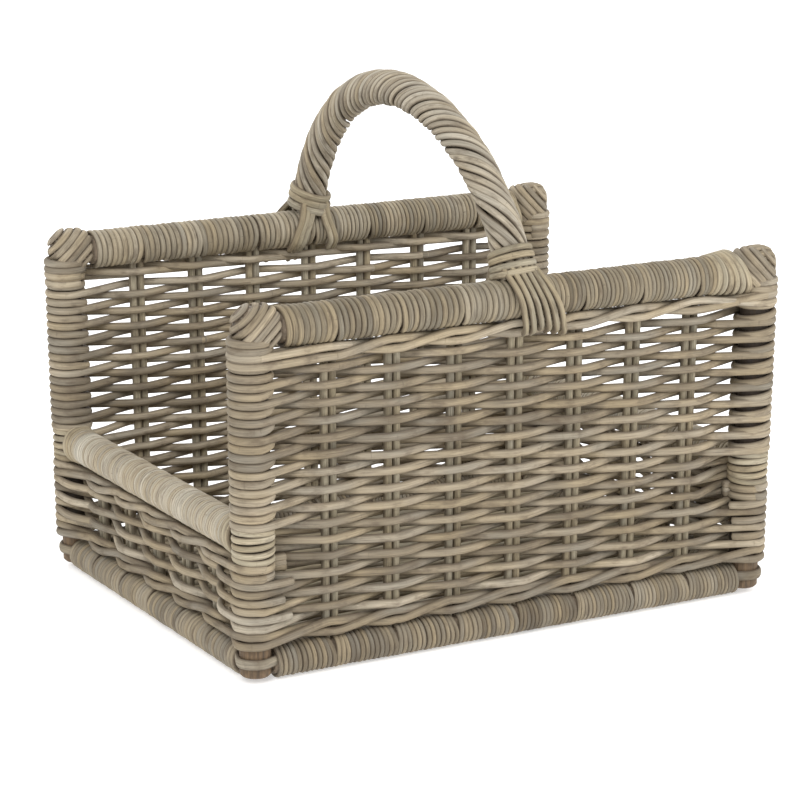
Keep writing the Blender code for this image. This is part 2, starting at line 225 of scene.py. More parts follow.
def cane_material(name, tones, streak=0.5, bump=0.35, side_dirt_and_shade=0.62):
    """Weathered cane: a tone for each cane, fibres along it, stains and darker blotches.

    The attribute "cane" holds the length along the cane and the place round it, and "edge"
    is 1 along its two sides, where canes meet; there dirt and painted shade darken the colour.
    """
    n = Nodes(name)
    place = n.attribute("cane", "Vector")
    tone = n.attribute("tone", "Fac")
    fibres = n.noise(n.stretched(place, (45.0, 900.0, 900.0)), 3.0, 0.6)
    blotch = n.noise(n.stretched(place, (60.0, 130.0, 130.0)), 4.0, 0.6)
    patches = n.noise(n.stretched(place, (14.0, 30.0, 30.0)), 2.0, 0.5)
    rings = n.noise(n.stretched(place, (420.0, 60.0, 60.0)), 2.0, 0.5)
    base = n.ramp(tone, tones)
    warm = n.spread(patches, 0.46, 0.66, 0.0, 0.55)
    base = n.mix(warm, base, (*WARM_PATCH, 1.0))
    cool = n.spread(patches, 0.46, 0.30, 0.0, 0.5)
    base = n.mix(cool, base, (*COOL_PATCH, 1.0))
    cracks = n.noise(n.stretched(place, (22.0, 1500.0, 1500.0)), 2.0, 0.5)
    base = n.mix(n.spread(cracks, 0.60, 0.72, 0.0, 0.55), base, (*DIRT_AND_SHADE, 1.0))
    light = n.spread(fibres, 0.3, 0.7, 1.0 - 0.55 * streak, 1.0 + 0.34 * streak)
    shade = n.add("ShaderNodeCombineColor")
    for socket in shade.inputs[:3]:
        n.link(light, socket)
    base = n.mix(1.0, base, shade.outputs[0], "MULTIPLY")
    stain = n.spread(blotch, 0.52, 0.80, 0.0, 0.85)
    base = n.mix(stain, base, (*DIRT_AND_SHADE, 1.0))
    scar = n.spread(rings, 0.68, 0.80, 0.0, 0.45)
    base = n.mix(scar, base, (*DIRT_AND_SHADE, 1.0))
    # Painted shade, with dirt, darkens both sides of every cane where it meets its neighbours
    sides = n.spread(n.attribute("edge", "Fac"), 0.35, 1.0, 0.0, side_dirt_and_shade)
    base = n.mix(sides, base, (*DIRT_AND_SHADE, 1.0))
    n.link(base, n.shader.inputs["Base Color"])
    n.link(n.spread(blotch, 0.3, 0.75, 0.62, 0.88), n.shader.inputs["Roughness"])
    n.shader.inputs["Specular IOR Level"].default_value = 0.35
    height = n.math("ADD", fibres, n.math("MULTIPLY", blotch, 0.6))
    height = n.math("ADD", height, n.math("MULTIPLY", rings, 0.4))
    n.bump(height, bump, 0.0006)
    return n.material


def pole_material(name, pale, dark, bump=0.5, shaded_above=None):
    """Peeled or bark-covered pole: grain up the pole, dark flecks, and above a height a near-black
    painted shade with some dark bark.
    """
    n = Nodes(name)
    place = n.add("ShaderNodeTexCoord").outputs["Object"]
    grain = n.noise(n.stretched(place, (420.0, 420.0, 35.0)), 4.0, 0.6)
    fleck = n.noise(n.stretched(place, (130.0, 130.0, 130.0)), 3.0, 0.6)
    base = n.ramp(grain, ((0.32, dark), (0.66, pale)))
    base = n.mix(n.spread(fleck, 0.52, 0.75, 0.0, 0.8), base, (*dark, 1.0))
    # Above the height the pole is painted near-black: painted shade of the wraps round it, with some
    # dark bark
    if shaded_above is not None:
        height = n.add("ShaderNodeSeparateXYZ")
        n.link(place, height.inputs[0])
        shaded = n.spread(height.outputs["Z"], shaded_above, shaded_above + 0.01, 0.0, 0.85)
        base = n.mix(shaded, base, (*POST_SHADE_AND_BARK, 1.0))
    n.link(base, n.shader.inputs["Base Color"])
    n.link(n.spread(grain, 0.3, 0.7, 0.6, 0.85), n.shader.inputs["Roughness"])
    n.bump(n.math("ADD", grain, fleck), bump, 0.0008)
    return n.material


# Dirt colour for stains, cracks and scars, also used as painted shade along the canes' sides
DIRT_AND_SHADE = (0.115, 0.085, 0.058)
# Near-black painted shade, with some dark bark, for the posts inside their wraps
POST_SHADE_AND_BARK = (0.030, 0.022, 0.016)
WARM_PATCH = (0.40, 0.315, 0.19)
COOL_PATCH = (0.275, 0.255, 0.21)
GREY_TONES = ((0.0, (0.165, 0.132, 0.089)), (0.35, (0.276, 0.229, 0.162)),
              (0.7, (0.376, 0.316, 0.228)), (1.0, (0.49, 0.424, 0.322)))
RAIL_TONES = ((0.0, (0.125, 0.101, 0.066)), (0.35, (0.20, 0.168, 0.115)),
              (0.7, (0.30, 0.256, 0.182)), (1.0, (0.42, 0.366, 0.272)))
SAND_TONES = ((0.0, (0.255, 0.215, 0.145)), (0.35, (0.345, 0.298, 0.205)),
              (0.7, (0.43, 0.375, 0.268)), (1.0, (0.50, 0.45, 0.34)))
PALE_TONES = ((0.0, (0.33, 0.283, 0.208)), (0.4, (0.435, 0.383, 0.293)),
              (0.75, (0.53, 0.474, 0.373)), (1.0, (0.61, 0.56, 0.455)))
HANDLE_TONES = ((0.0, (0.28, 0.235, 0.173)), (0.4, (0.37, 0.32, 0.243)),
                (0.75, (0.455, 0.40, 0.31)), (1.0, (0.53, 0.48, 0.385)))
BASE_TONES = ((0.0, (0.14, 0.114, 0.080)), (0.35, (0.22, 0.186, 0.134)),
              (0.7, (0.305, 0.263, 0.195)), (1.0, (0.40, 0.352, 0.27)))

MATERIALS = {
    "weaving_cane": cane_material("weaving_cane", GREY_TONES),
    "rail_cane": cane_material("rail_cane", RAIL_TONES, 0.6, 0.45, 0.75),
    "base_cane": cane_material("base_cane", BASE_TONES, 0.6, 0.45, 0.85),
    "end_rail_cane": cane_material("end_rail_cane", PALE_TONES, 0.5, 0.4),
    "stake_cane": cane_material("stake_cane", SAND_TONES, 0.7),
    "floor_cane": cane_material("floor_cane", SAND_TONES),
    "knot_cane": cane_material("knot_cane", GREY_TONES, 0.6),
    "handle_cane": cane_material("handle_cane", HANDLE_TONES, 0.5, 0.35, 0.8),
    "lashing_cane": cane_material("lashing_cane", SAND_TONES, 0.6, 0.35, 0.8),
    "core_pole": pole_material("core_pole", (0.26, 0.20, 0.14), (0.10, 0.075, 0.05)),
    # The posts are painted near-black above the foot of the weaving: painted shade, with some dark
    # bark
    "peeled_pole": pole_material("peeled_pole", (0.205, 0.135, 0.075), (0.07, 0.045, 0.025), 0.2,
                                 WEAVE_LOW),
}


# ---------------------------------------------------------------- canes


def smooth(points, step, closed=False):
    """Points along a Catmull-Rom curve through the given ones, about step apart."""
    p = np.asarray(points, float)
    if closed:
        p = np.vstack([p[-1], p, p[0], p[1]])
    else:
        p = np.vstack([2 * p[0] - p[1], p, 2 * p[-1] - p[-2]])
    knots = np.concatenate([[0.0], np.cumsum(np.sqrt(
        np.maximum(np.linalg.norm(np.diff(p[:, :3], axis=0), axis=1), 1e-6)))])
    out = []
    for i in range(1, len(p) - 2):
        p0, p1, p2, p3 = p[i - 1:i + 3]
        t0, t1, t2, t3 = knots[i - 1:i + 3]
        count = max(1, int(math.ceil(np.linalg.norm((p2 - p1)[:3]) / step)))
        t = np.linspace(t1, t2, count, endpoint=False)[:, None]
        a1 = (t1 - t) / (t1 - t0) * p0 + (t - t0) / (t1 - t0) * p1
        a2 = (t2 - t) / (t2 - t1) * p1 + (t - t1) / (t2 - t1) * p2
        a3 = (t3 - t) / (t3 - t2) * p2 + (t - t2) / (t3 - t2) * p3
        b1 = (t2 - t) / (t2 - t0) * a1 + (t - t0) / (t2 - t0) * a2
        b2 = (t3 - t) / (t3 - t1) * a2 + (t - t1) / (t3 - t1) * a3
        out.append((t2 - t) / (t2 - t1) * b1 + (t - t1) / (t2 - t1) * b2)
    if not closed:
        out.append(p[-2][None, :])
    return np.vstack(out)


DOME = 0.35  # height of a cane's end over the cane's half-thickness


class Canes:
    """Collects canes as tubes and makes one mesh of them."""

    def __init__(self, name, slot, nodes, sides=10):
        self.name = name
        self.slot = slot
        self.nodes = nodes
        self.sides = sides
        self.verts = []
        self.faces = []
        self.tones = []
        self.places = []
        self.edges = []
        self.count = 0

    def add(self, points, outward, wide, thick=None, tone=0.5, closed=False):
        """One cane through points, with wide its half-width and thick its half-thickness outward."""
        p = np.asarray(points, float)
        n = len(p)
        out = np.broadcast_to(np.asarray(outward, float), p.shape)
        wide = np.broadcast_to(np.asarray(wide, float), (n,))
        thick = wide if thick is None else np.broadcast_to(np.asarray(thick, float), (n,))
        if closed:
            tangent = np.roll(p, -1, 0) - np.roll(p, 1, 0)
        else:
            tangent = np.gradient(p, axis=0)
        tangent = unit(tangent)
        normal = unit(out - (out * tangent).sum(1)[:, None] * tangent)
        turned = np.where((normal[1:] * normal[:-1]).sum(1) < 0, -1.0, 1.0)
        normal[1:] *= np.cumprod(turned)[:, None]
        across = np.cross(tangent, normal)
        angle = full_turn(self.sides)
        ring = (normal[:, None, :] * (thick[:, None] * np.cos(angle))[:, :, None]
                + across[:, None, :] * (wide[:, None] * np.sin(angle))[:, :, None]
                + p[:, None, :])
        length = np.concatenate([[0.0], np.cumsum(np.linalg.norm(np.diff(p, axis=0), axis=1))])
        shift = RNG.uniform(0, 40)
        place = np.empty((n, self.sides, 3))
        place[:, :, 0] = length[:, None] + shift
        place[:, :, 1] = CANE_R * np.cos(angle) + shift * 0.37
        place[:, :, 2] = CANE_R * np.sin(angle) + shift * 0.11
        first = self.count
        s = self.sides
        i = np.arange(n if closed else n - 1)
        a = first + i[:, None] * s + np.arange(s)
        b = first + ((i[:, None] + 1) % n) * s + np.arange(s)
        if closed and (normal[0] * normal[-1]).sum() < 0:
            b[-1] = np.roll(b[-1], -(s // 2))
        quads = np.stack([a, np.roll(a, -1, 1), np.roll(b, -1, 1), b], -1).reshape(-1, 4)
        self.faces.extend(quads.tolist())
        self.verts.append(ring.reshape(-1, 3))
        self.places.append(place.reshape(-1, 3))
        self.tones.append(np.full(n * s, tone))
        self.edges.append(np.tile(np.sin(angle) ** 2, n))
        self.count += n * s
        if not closed:
            self.cap(first, p[0] - tangent[0] * thick[0] * DOME, place[0, 0], tone, True)
            last = first + (n - 1) * s
            self.cap(last, p[-1] + tangent[-1] * thick[-1] * DOME, place[-1, 0], tone, False)

    def cap(self, ring, tip, place, tone, start):
        """A low dome on the end of a cane."""
        s = self.sides
        self.verts.append(tip[None, :])
        self.places.append(place[None, :])
        self.tones.append(np.array([max(0.0, tone - 0.2)]))
        self.edges.append(np.array([0.6]))
        apex = self.count
        self.count += 1
        for j in range(s):
            k = (j + 1) % s
            edge = (ring + k, ring + j) if start else (ring + j, ring + k)
            self.faces.append([*edge, apex])

    def make(self):
        mesh = bpy.data.meshes.new(self.name)
        verts = np.vstack(self.verts)
        mesh.from_pydata(verts.tolist(), [], self.faces)
        tone = mesh.attributes.new("tone", "FLOAT", "POINT")
        tone.data.foreach_set("value", np.concatenate(self.tones).astype(np.float32))
        edge = mesh.attributes.new("edge", "FLOAT", "POINT")
        edge.data.foreach_set("value", np.concatenate(self.edges).astype(np.float32))
        place = mesh.attributes.new("cane", "FLOAT_VECTOR", "POINT")
        place.data.foreach_set("vector", np.vstack(self.places).astype(np.float32).ravel())
        mesh.materials.append(MATERIALS[self.slot])
        mesh.shade_smooth()
        obj = bpy.data.objects.new(self.name, mesh)
        bpy.context.collection.objects.link(obj)
        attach(obj, "root")
        if self.nodes:
            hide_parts(*self.nodes)
        return obj


def some_tone(middle_tone=0.5, spread=0.22):
    """A tone for one cane, from 0 dark to 1 pale."""
    return min(1.0, max(0.0, RNG.gauss(middle_tone, spread)))


# ---------------------------------------------------------------- weaving

# A station is a place that the weavers pass: (plan point, along, outward, kind)


def side_stations(sy, rightwards=True):
    """Stakes of a long wall, in the order that a weaver meets them."""
    order = SIDE_STAKES if rightwards else SIDE_STAKES[::-1]
    along = np.array([1.0 if rightwards else -1.0, 0, 0])
    return [(np.array([x, sy * HALF_Y, 0]), along, np.array([0, float(sy), 0]), "stake")
            for x in order]


def end_stations(sx, farwards=True):
    order = END_STAKES if farwards else END_STAKES[::-1]
    along = np.array([0, 1.0 if farwards else -1.0, 0])
    return [(np.array([sx * HALF_X, y, 0]), along, np.array([float(sx), 0, 0]), "stake")
            for y in order]


def corner_station(sx, sy, before, after):
    """A post between two walls, whose outward directions are before and after."""
    return (np.array([sx * HALF_X, sy * HALF_Y, 0]), np.array(before, float),
            np.array(after, float), "post")


STAKE_FLAT = 0.0062  # how far along the wall a weaver lies flat on a stake pair, each way
INSIDE_FLAT = 0.0060  # the same inside a post
POST_REACH = POST_R + 0.0028  # from a post's axis to the middle of a cane outside it


def past(station, side, radius):
    """Plan points of a weaver at a station; side is 1 outside and -1 inside.

    Each is (x, y, outward x, outward y, flatness).
    """
    point, along, outward, kind = station
    rows = []
    if kind != "post":
        offset = side * (STAKE_R + radius * 0.96)
        for t in (-STAKE_FLAT, 0.0, STAKE_FLAT):
            rows.append((*(point + along * t + outward * offset)[:2], *outward[:2], 1.0))
        return rows
    before, after = along, outward
    if side > 0:
        for i in range(5):
            direction = unit(before * (4 - i) + after * i)
            rows.append((*(point + direction * POST_REACH)[:2], *direction[:2], 0.8))
        return rows
    diagonal = unit(before + after)
    reach = POST_R + radius
    across = unit(after - before)
    for t in (-INSIDE_FLAT, 0.0, INSIDE_FLAT):
        spot = point - diagonal * (reach - abs(t) / 4) + across * t
        rows.append((*spot[:2], *diagonal[:2], 1.0))
    return rows


def past_rows(station, side, radius, z, wobble):
    """Control rows of a weaver at a station, at about the height z."""
    return [[*flared((x, y, z + RNG.uniform(-wobble, wobble))), nx, ny, flat]
            for x, y, nx, ny, flat in past(station, side, radius)]


def weaver(canes, passes, radius, tone, wobble=0.0005, closed=False):
    """A cane through passes of (station, side, height)."""
    controls = []
    for station, side, z in passes:
        controls += past_rows(station, side, radius, z, wobble)
    draw(canes, controls, radius, tone, closed=closed)


def draw(canes, controls, radius, tone, step=CURVE_STEP, closed=False):
    """A cane through control rows of (x, y, z, outward x, outward y, flatness)."""
    curve = smooth(controls, step, closed)
    outward = np.column_stack([curve[:, 3:5], np.zeros(len(curve))])
    canes.add(curve[:, :3], outward, radius, radius * curve[:, 5], tone, closed)


TAIL_REACH = {-1: 0.0250, 1: 0.0130}  # from the axis of a left or right post


def tail_station(sx, sy):
    """A place just past a corner post on a long wall, where a cane from the end stops."""
    place = np.array([sx * (HALF_X - TAIL_REACH[sx]), sy * HALF_Y, 0])
    return (place, np.array([float(sx * sy), 0, 0]), np.array([0, float(sy), 0]), "tail")


def around():
    """Stations all round the basket from the far right corner, going left along the far wall."""
    near, right, far, left = (0, -1, 0), (1, 0, 0), (0, 1, 0), (-1, 0, 0)
    stations = side_stations(1, False)
    stations.append(corner_station(-1, 1, far, left))
    stations += end_stations(-1, False)
    stations.append(corner_station(-1, -1, left, near))
    stations += side_stations(-1, True)
    stations.append(corner_station(1, -1, near, right))
    stations += end_stations(1, True)
    stations.append(corner_station(1, 1, right, far))
    return stations


LOWER_ROWS = round((END_HIGH - WEAVE_LOW) / ROW_PITCH)
LOWER_PITCH = (END_HIGH - WEAVE_LOW) / LOWER_ROWS
FOOT_WALE_ROWS = 2
WALE_LEVELS = (-0.0040, 0.0040, 0.0)  # of a wale's cane at its three kinds of pass
WALE_WOBBLE = 0.0004


def lower_level(row):
    """Height of a row of the lower weaving, counted from the foot."""
    return WEAVE_LOW + LOWER_PITCH * (row + 0.5)


def wale(canes, stations, level, tone_middle):
    """Three canes that twist round each other, each outside two stakes and inside one."""
    for strand in range(3):
        passes = []
        for i, station in enumerate(stations):
            beside_post = min(max(i, 1), len(stations) - 2) if station[3] == "tail" else i
            passes.append(wale_pass(station, beside_post + strand, level))
        weaver(canes, passes, CANE_R * RNG.uniform(0.94, 1.04), some_tone(tone_middle), WALE_WOBBLE)


def wale_pass(station, count, level):
    """Station, side and height of a wale's cane that has made count passes before."""
    phase = count % 3
    side = -1 if phase == 2 or station[3] == "tail" else 1
    return (station, side, level + WALE_LEVELS[phase])


def endless_wale(canes, stations, level, tone_middle):
    """A wale all round the basket: each strand runs on into the next one after a round."""
    passes = [wale_pass(stations[i % len(stations)], i, level) for i in range(3 * len(stations))]
    weaver(canes, passes, CANE_R, some_tone(tone_middle), WALE_WOBBLE, closed=True)


def lower_weave():
    """Rows that run all round the basket, below the end rails."""
    canes = Canes("lower_weave", "weaving_cane", ["weave_left", "weave_right"])
    stations = around()
    endless_wale(canes, stations, lower_level(0.55), 0.45)
    for sx in (-1, 1):
        near, far = (tail_station(sx, sy) for sy in (-1, 1))
        across = [far, corner_station(sx, 1, (0, 1, 0), (sx, 0, 0)), *end_stations(sx, False),
                  corner_station(sx, -1, (sx, 0, 0), (0, -1, 0)), near]
        wale(canes, across, lower_level(LOWER_ROWS - 1.6), 0.5)
        for sy in (-1, 1):
            for row in (LOWER_ROWS - 2.2, LOWER_ROWS - 1.2):
                loop(canes, sx, sy, lower_level(row), POST_REACH - 0.0014, CANE_R)
    for row in range(FOOT_WALE_ROWS, LOWER_ROWS - 2):
        level = lower_level(row)
        radius = CANE_R * RNG.uniform(0.92, 1.06)
        passes = [(station, 1 if (i + row) % 2 else -1, level)
                  for i, station in enumerate(stations)]
        weaver(canes, passes, radius, some_tone(0.38), closed=True)
        for i, station in enumerate(stations):
            if station[3] == "post" and not (i + row) % 2:
                filler(canes, station, level)
    return canes


def filler(canes, station, level):
    """A short cane round the outside of a corner. On an end it goes in behind the first stake."""
    point, before, after, _ = station
    away = -1 if np.cross(before, after)[2] > 0 else 1
    along_in = np.array([before[1], -before[0], 0]) * away
    along_out = np.array([after[1], -after[0], 0]) * away
    tail = RNG.uniform(0.016, 0.024)
    head = RNG.uniform(0.016, 0.030)
    # Each is (distance from the post along the wall, distance outward over the post's reach)
    stake = HALF_Y + END_STAKES[0]
    behind = -(STAKE_R + CANE_R) / POST_REACH
    tucked = ((stake + 0.007, behind), (stake, behind), (stake * 0.74, 0.40), (stake * 0.42, 0.97))
    controls = []
    for distance, out in tucked if before[0] else ((tail, 0.55), (tail * 0.5, 0.92)):
        spot = point + before * POST_REACH * out - along_in * distance
        controls.append([*flared((spot[0], spot[1], level)), *before[:2], 0.9])
    for x, y, nx, ny, flat in past(station, 1, CANE_R):
        controls.append([*flared((x, y, level)), nx, ny, flat])
    for distance, out in tucked[::-1] if after[0] else ((head * 0.5, 0.96), (head, 0.80)):
        spot = point + after * POST_REACH * out + along_out * distance
        controls.append([*flared((spot[0], spot[1], level)), *after[:2], 0.9])
    draw(canes, controls, CANE_R * RNG.uniform(0.92, 1.02), some_tone(0.5))


def post_row(sx, sy, direction, z, reach=POST_REACH, flat=0.8):
    """Control row of a cane beside a post, in a direction from the post's axis."""
    x, y = sx * HALF_X + direction[0] * reach, sy * HALF_Y + direction[1] * reach
    return [*flared((x, y, z)), direction[0], direction[1], flat]


def post_turn(sx, sy, low, high, from_outside):
    """Control rows of a weaver that turns one and a half times round a post and goes back."""
    if from_outside:
        # The second turn stays on the first until it is round the front again
        half_turns, rises = (1.1, 1.6, 2.35), (0.0, 0.28, 1.0)
    else:
        half_turns, rises = (1.0, 2.0), (0.0, 1.0)
    rows = []
    for turn in np.linspace(0.0, 3.0, 25):
        z = low + (high - low) * np.interp(turn, half_turns, rises)
        # Counted from the outward side of the wall, over the post's outer side
        angle = math.pi * (turn if from_outside else 1.0 - turn)
        rows.append(post_row(sx, sy, (sx * math.sin(angle), sy * math.cos(angle)), z))
    return rows


TOP_WALE_HIGH = 2 * ROW_PITCH + 0.001
LASHED_HIGH = END_Z + 0.0112


def upper_weave(side, sy):
    """Rows of a long wall above those that run all round."""
    canes = Canes(f"upper_weave_{side}", "weaving_cane", [f"weave_{side}"])
    straight_rows(canes, sy, lower_level(LOWER_ROWS - 2) - LOWER_PITCH / 2, LASHED_HIGH)
    turning_rows(canes, sy, LASHED_HIGH, SIDE_HIGH - TOP_WALE_HIGH)
    top_wale(canes, sy, SIDE_HIGH - TOP_WALE_HIGH / 2 + 0.0018)
    return canes


def straight_rows(canes, sy, low, high):
    """Rows beside the end rails' lashings, whose ends go in behind both posts."""
    count = round((high - low) / ROW_PITCH)
    pitch = (high - low) / count
    for row in range(count):
        level = low + pitch * (row + 0.5)
        radius = CANE_R * RNG.uniform(0.92, 1.04)
        controls = tucked_end(-1, sy, radius, level)
        for i, station in enumerate(side_stations(sy)):
            side = 1 if (i + row + LOWER_ROWS) % 2 else -1
            controls += past_rows(station, side, radius, level, 0.0005)
        controls += tucked_end(1, sy, radius, level)[::-1]
        draw(canes, controls, radius, some_tone(0.45))


def tucked_end(sx, sy, radius, level):
    """Control rows of a cane's end behind a post, from the end on."""
    rows = []
    for from_axis, share in ((0.003, 0.95), (-0.018, 0.85)):
        y = sy * (HALF_Y - (POST_R + radius) * share)
        rows.append([*flared((sx * (HALF_X + from_axis), y, level)), 0, sy, 1.0])
    return rows


def turning_rows(canes, sy, low, high):
    """Rows of one weaver after another, which turn back round the posts."""
    count = round((high - low) / ROW_PITCH)
    count -= count % 2
    pitch = (high - low) / count
    stations = side_stations(sy)
    last = len(stations) - 1
    tone = some_tone(0.5)
    radius = CANE_R * RNG.uniform(0.93, 1.05)
    level = low + pitch / 2
    controls = post_turn(-1, sy, level, level, False)[12:]
    for row in range(count):
        level = low + pitch * (row + 0.5)
        rightwards = row % 2 == 0
        for i in range(last + 1) if rightwards else range(last, -1, -1):
            side = 1 if (i + row) % 2 else -1
            sag = RNG.uniform(-0.0006, 0.0006)
            points = past(stations[i], side, radius)
            for x, y, nx, ny, flat in points if rightwards else points[::-1]:
                controls.append([*flared((x, y, level + sag)), nx, ny, flat])
            # Now and then a weaver ends inside a stake, and the next one starts there
            if side < 0 and RNG.random() < 0.16 and 0 < i < last:
                draw(canes, controls, radius, tone)
                controls = controls[-3:]
                tone = some_tone(0.5)
                radius = CANE_R * RNG.uniform(0.93, 1.05)
        if row < count - 1:
            sx, end_stake = (1, last) if rightwards else (-1, 0)
            controls += post_turn(sx, sy, level, level + pitch, (end_stake + row) % 2 == 0)
    controls += post_turn(-1, sy, level, level, False)[:13]
    draw(canes, controls, radius, tone)


def top_wale(canes, sy, level):
    """The wale under a top rail. Its canes end on the posts, which closed turns fill out."""
    step = 0.0036  # up or down to where a cane's end lies on its post
    for strand in range(3):
        radius = CANE_R * RNG.uniform(0.95, 1.05)
        controls = half_turn(-1, sy, level + (step if strand != 0 else -step))
        for i, station in enumerate(side_stations(sy)):
            _, side, z = wale_pass(station, i + strand, level)
            for x, y, nx, ny, flat in past(station, side, radius):
                controls.append([*flared((x, y, z)), nx, ny, flat])
        controls += half_turn(1, sy, level + (step if strand != 1 else -step))[::-1]
        draw(canes, controls, radius, some_tone(0.55))
    for sx in (-1, 1):
        for lift, inset in ((-0.0058, 0.0012), (0.0020, 0.0012), (0.0086, 0.0), (0.0148, 0.0)):
            loop(canes, sx, sy, level + lift, POST_REACH - inset, CANE_R * 0.97)


def loop(canes, sx, sy, level, reach, radius):
    """One closed turn round a post."""
    angle = full_turn(36)
    direction = np.column_stack([np.cos(angle), np.sin(angle), np.zeros(36)])
    points = [post_row(sx, sy, d, level, reach)[:3] for d in direction]
    canes.add(points, direction, radius, radius * 0.8, some_tone(0.5), closed=True)


def half_turn(sx, sy, level):
    """A little over half a turn, from behind a post over its outer side to its outward side."""
    return [post_row(sx, sy, (sx * math.sin(angle), sy * math.cos(angle)), level)
            for angle in np.linspace(1.15 * math.pi, 0.0, 9)]


def stake_canes(node, x, y, along, low, high):
    """A pair of stakes from inside the base rail to inside the top one."""
    canes = Canes(f"{node}_pair", "stake_cane", [node], 12)
    for sign in (-1, 1):
        controls = []
        bend = RNG.uniform(-0.0004, 0.0004)
        for i in range(9):
            t = i / 8
            z = low + (high - low) * t
            shift = sign * STAKE_GAP + bend * math.sin(t * math.pi * 2)
            spot = (x + shift, y, z) if along == "x" else (x, y + shift, z)
            controls.append(flared(spot))
        out = (0, 1, 0) if along == "x" else (1, 0, 0)
        canes.add(smooth(controls, 0.012), out, STAKE_R * RNG.uniform(0.97, 1.03), None,
                  some_tone(0.4, 0.2))
    canes.make()


# ---------------------------------------------------------------- wraps

WRAP_PITCH = 1.9  # from turn to turn, over the cane's half-width
WRAP_THICK = 0.72  # over the cane's half-width
PART = 0.0026  # how far the turns beside a stake are pushed away from it
PART_REACH = 0.0075


def wound(canes, centre, k, start, stop, radius, strand, tone_middle, stakes, entry):
    """Cane wound round a straight pole, from start to stop along the x (0) or y (1) axis k."""
    axis, side, up = np.eye(3)[[k, 1 - k, 2]]
    tilt = RNG.uniform(-0.0006, 0.0006)
    thick = strand * WRAP_THICK
    turns = max(1, round((stop - start) / (strand * WRAP_PITCH)))
    pitch = (stop - start) / turns
    spin = RNG.uniform(-0.9, -0.3)
    turn = 0
    while turn < turns:
        run = min(turns - turn, RNG.randint(1, 6))
        angle = np.linspace(0, run * 2 * math.pi, run * 22 + 1)
        along = start + pitch * (turn + angle / (2 * math.pi))
        along = along + tilt * np.sin(angle + spin) + RNG.uniform(-0.0003, 0.0003)
        swell = radius * (1 + 0.012 * np.sin(angle * 0.31 + turn) + RNG.uniform(-0.008, 0.012))
        direction = np.outer(np.cos(angle + spin), side) + np.outer(np.sin(angle + spin), up)
        push = np.zeros(len(angle))
        for stake in stakes:
            off = along - stake
            push += np.tanh(off / 0.0012) * PART * np.exp(-(off / PART_REACH) ** 2)
        along = along + push * np.clip(direction[:, 2] * entry, 0, 1)
        points = centre + np.outer(along, axis) + direction * (swell - thick)[:, None]
        width = strand * RNG.uniform(0.93, 1.05)
        canes.add(points, direction, width, thick, some_tone(tone_middle, 0.2))
        turn += run


def wrapped_rail(rail, place, slot, centre, radius, lining, strands, tones,
                 stakes=(), overrun=0.0, entry=-1.0):
    """The wrap of one rail, and the dark lining that shows between its turns.

    The turns part round the stakes, below the pole (entry -1) or above it (entry 1). strands
    are the canes' half-widths from stake to stake, and tones the middle tones at both ends.
    """
    node = f"{rail}_wrap_{place}"
    k = 0 if place in SIDES else 1
    low, high = (corner[k] for corner in span(node))
    stops = [low - overrun, *stakes, high + overrun]
    canes = Canes(f"{rail}_wrap_canes_{place}", slot, [node], 8)
    for i, (start, stop) in enumerate(zip(stops, stops[1:])):
        strand = strands[min(i, len(strands) - 1)]
        tone = tones[0] + (tones[1] - tones[0]) * i / max(1, len(stops) - 2)
        wound(canes, centre, k, start, stop, radius, strand, tone, stakes, entry)
    canes.make()
    core = Canes(f"{rail}_lining_{place}", "core_pole", [], 24)
    points = [centre + np.eye(3)[k] * (low + (high - low) * i / 24) for i in range(25)]
    core.add(points, (0, 0, 1), lining, None, 0.05)
    core.make()


# ---------------------------------------------------------------- knots

KNOT_POWER = 4.0  # how square a knot's outline is along the rail
KNOT_ROUND = 2.6  # how square it is across the rail
KNOT_CANE = 0.0031


def knot(side, end, sx):
    """Canes laid slantwise over the end of a top rail and the head of its post."""
    node = f"knot_{side}_{end}"
    low, high = span(node)
    centre = np.array([*middle(node)[:2], TOP_Z + 0.0018])
    long = (high[0] - low[0]) / 2 + 0.0006
    radius = (high[1] - low[1]) / 2 + 0.0002
    canes = Canes(f"knot_canes_{side}_{end}", "knot_cane", [node], 10)
    for inset_x, inset_r, slant in ((0.0, 0.0, -sx), (0.0030, 0.0022, sx)):
        step = unit(np.array([-0.90 * slant, 0.45 * slant, 0.92]))
        lay_loops(canes, centre, long - inset_x, radius - inset_r, step, KNOT_CANE, 4)
    canes.make()
    heart = Canes(f"knot_heart_{side}_{end}", "core_pole", [], 24)
    share = np.linspace(-1, 1, 13)
    reach = (1 - np.abs(share) ** KNOT_POWER) ** (1 / KNOT_POWER)
    points = centre + np.outer(share * (long - 0.0034), (1.0, 0, 0))
    heart.add(points, (0, 0, 1), np.maximum(reach * (radius - 0.0034), 0.001), None, 0.1)
    heart.make()
    if end == "right":
        knot_corner(side, centre, long, radius, sx)


def knot_corner(side, centre, long, radius, sx):
    """Canes that run over the top and down the outer end of a right knot."""
    corner = Canes(f"knot_corner_{side}", "knot_cane", [], 12)
    shifted = centre + np.array([sx * 0.0050, 0, 0.0036])
    lay_loops(corner, shifted, long - 0.0046, radius - 0.0030, np.array([0, 1.0, 0]), KNOT_CANE, 3)
    corner.make()


def rail_neck(side, sy):
    """Broad slanting canes round the right end of a top rail, up to its knot."""
    canes = Canes(f"rail_neck_{side}", "lashing_cane", [], 12)
    strand = 0.0030
    start = span(f"knot_{side}_right")[0][0] - 0.0010
    centre = np.array([start, middle(f"top_wrap_{side}")[1], TOP_Z])
    angle = full_turn(40)
    direction = np.column_stack([np.zeros(40), np.cos(angle), np.sin(angle)])
    count = 6
    for i in range(count):
        nearness = i / (count - 1)
        points = centre + direction * (TOP_R - 0.0006 + 0.0026 * nearness)
        shift = (i - count + 1) * strand * 1.80
        slant = 0.0080 * nearness
        points[:, 0] += shift - slant * np.sin(angle) + 0.0016 * np.cos(angle) * sy
        canes.add(points, direction, strand, strand * 0.72, some_tone(0.5), closed=True)
    canes.make()


